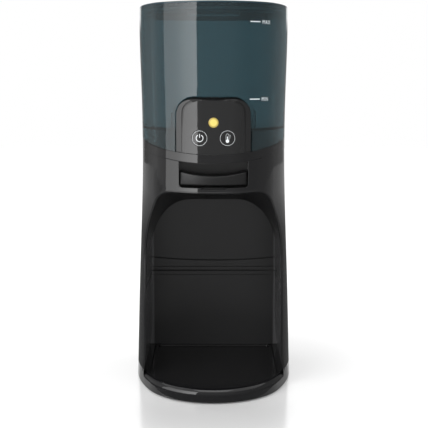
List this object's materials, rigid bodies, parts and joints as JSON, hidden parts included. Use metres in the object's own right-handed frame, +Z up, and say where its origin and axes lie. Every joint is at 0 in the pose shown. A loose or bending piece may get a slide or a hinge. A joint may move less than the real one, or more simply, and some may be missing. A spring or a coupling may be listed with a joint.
{
  "type": "formula water warmer",
  "caption": "Tall oval countertop warmer with a clear lift-off water tank, control panel, push-down dispensing lever, open bottle bay and lift-out drip tray.",
  "frame": {"origin": "middle of the footprint, on the table under the feet", "axes": "+Z up, the front with the lever and the bay looks along -Y, +X to the right of the front as seen"},
  "size_m": [0.1438, 0.1798, 0.34],
  "materials": {
    "gloss_black": "high gloss black moulding",
    "satin_black": "satin black moulding",
    "deck_black": "gloss black moulding",
    "panel_black": "smoked gloss panel",
    "key_black": "gloss keys with printed rings and symbols",
    "lever_black": "gloss black lever",
    "indicator_amber": "translucent amber lens",
    "tank_smoke": "clear smoky blue-grey moulding",
    "lid_black": "gloss black lid",
    "tray_black": "gloss black tray",
    "valve_white": "natural moulded plastic",
    "seal_silicone": "translucent silicone",
    "foot_rubber": "black rubber",
    "steel": "drawn stainless steel",
    "spring_steel": "spring steel",
    "screw_steel": "zinc plated steel",
    "heater_aluminium": "cast aluminium",
    "board_green": "glass-fibre circuit board",
    "component_dark": "moulded components",
    "transformer_yellow": "tape-wound core",
    "led_amber": "clear amber epoxy"
  },
  "bodies": {
    "housing": {"outer_shell": "gloss_black", "rear_cover": "gloss_black", "rear_cover_screws": "screw_steel", "upper_bay_liner": "satin_black", "lower_bay_liner": "satin_black", "tank_seat": "deck_black", "control_tower": "deck_black", "control_bezel": "panel_black", "indicator_lens": "indicator_amber", "control_board": "board_green", "control_board_screws": "screw_steel", "button_switches": "component_dark", "indicator_led": "led_amber", "lever_housing": "satin_black", "lever_pin": "steel", "valve_body": "valve_white", "valve_cap": "valve_white", "valve_spring": "spring_steel", "nozzle": "satin_black", "outlet_hose": "seal_silicone", "heater_vessel": "steel", "vessel_gasket": "seal_silicone", "vessel_screws": "screw_steel", "heater_plate": "heater_aluminium", "heating_element": "steel", "thermal_cutout": "component_dark", "temperature_sensor": "steel", "power_board": "board_green", "power_board_screws": "screw_steel", "mains_transformer": "transformer_yellow", "board_parts": "component_dark", "base_plate": "satin_black", "base_screws": "screw_steel", "rubber_feet": "foot_rubber", "cord_gland": "foot_rubber"},
    "tank": {"water_tank": "tank_smoke", "tank_outlet_housing": "valve_white", "tank_outlet_seal": "seal_silicone", "poppet_spring": "spring_steel"},
    "lid": {"tank_lid": "lid_black", "lid_seal": "seal_silicone"},
    "poppet": {"tank_poppet": "valve_white", "poppet_seal": "seal_silicone"},
    "lever": {"dispense_lever": "lever_black"},
    "plunger": {"valve_plunger": "steel", "valve_seal": "seal_silicone"},
    "power_key": {"power_button": "key_black"},
    "temperature_key": {"temperature_button": "key_black"},
    "tray": {"drip_tray": "tray_black"}
  },
  "joints": [
    {"name": "lever_press", "type": "hinge", "parent": "housing", "child": "lever", "pos_m": [0, -0.035, 0.191], "axis": [1, 0, 0], "range_deg": [0, 2.8], "stiffness_Nm_per_rad": 1, "springref_deg": -5.73},
    {"name": "plunger_lift", "type": "slide", "parent": "housing", "child": "plunger", "axis": [0, 0, 1], "range_m": [0, 0.002], "deforming": ["valve_spring"]},
    {"name": "power_button_press", "type": "slide", "parent": "housing", "child": "power_key", "axis": [0, 1, 0], "range_m": [0, 0.0005], "stiffness_N_per_m": 400, "springref_m": -0.002},
    {"name": "temperature_button_press", "type": "slide", "parent": "housing", "child": "temperature_key", "axis": [0, 1, 0], "range_m": [0, 0.0005], "stiffness_N_per_m": 400, "springref_m": -0.002},
    {"name": "tank_lift", "type": "slide", "parent": "housing", "child": "tank", "axis": [0, 0, 1], "range_m": [0, 0.08]},
    {"name": "lid_lift", "type": "slide", "parent": "tank", "child": "lid", "axis": [0, 0, 1], "range_m": [0, 0.05]},
    {"name": "poppet_close", "type": "slide", "parent": "tank", "child": "poppet", "axis": [0, 0, 1], "range_m": [-0.003, 0], "deforming": ["poppet_spring"]},
    {"name": "tray_lift", "type": "slide", "parent": "housing", "child": "tray", "axis": [0, 0, 1], "range_m": [0, 0.03]}
  ],
  "couplings": [
    {"joint": "lever_press", "follows": "plunger_lift", "rad_per_m": 24.4},
    {"joint": "poppet_close", "follows": "tank_lift", "ratio": -0.0372}
  ]
}
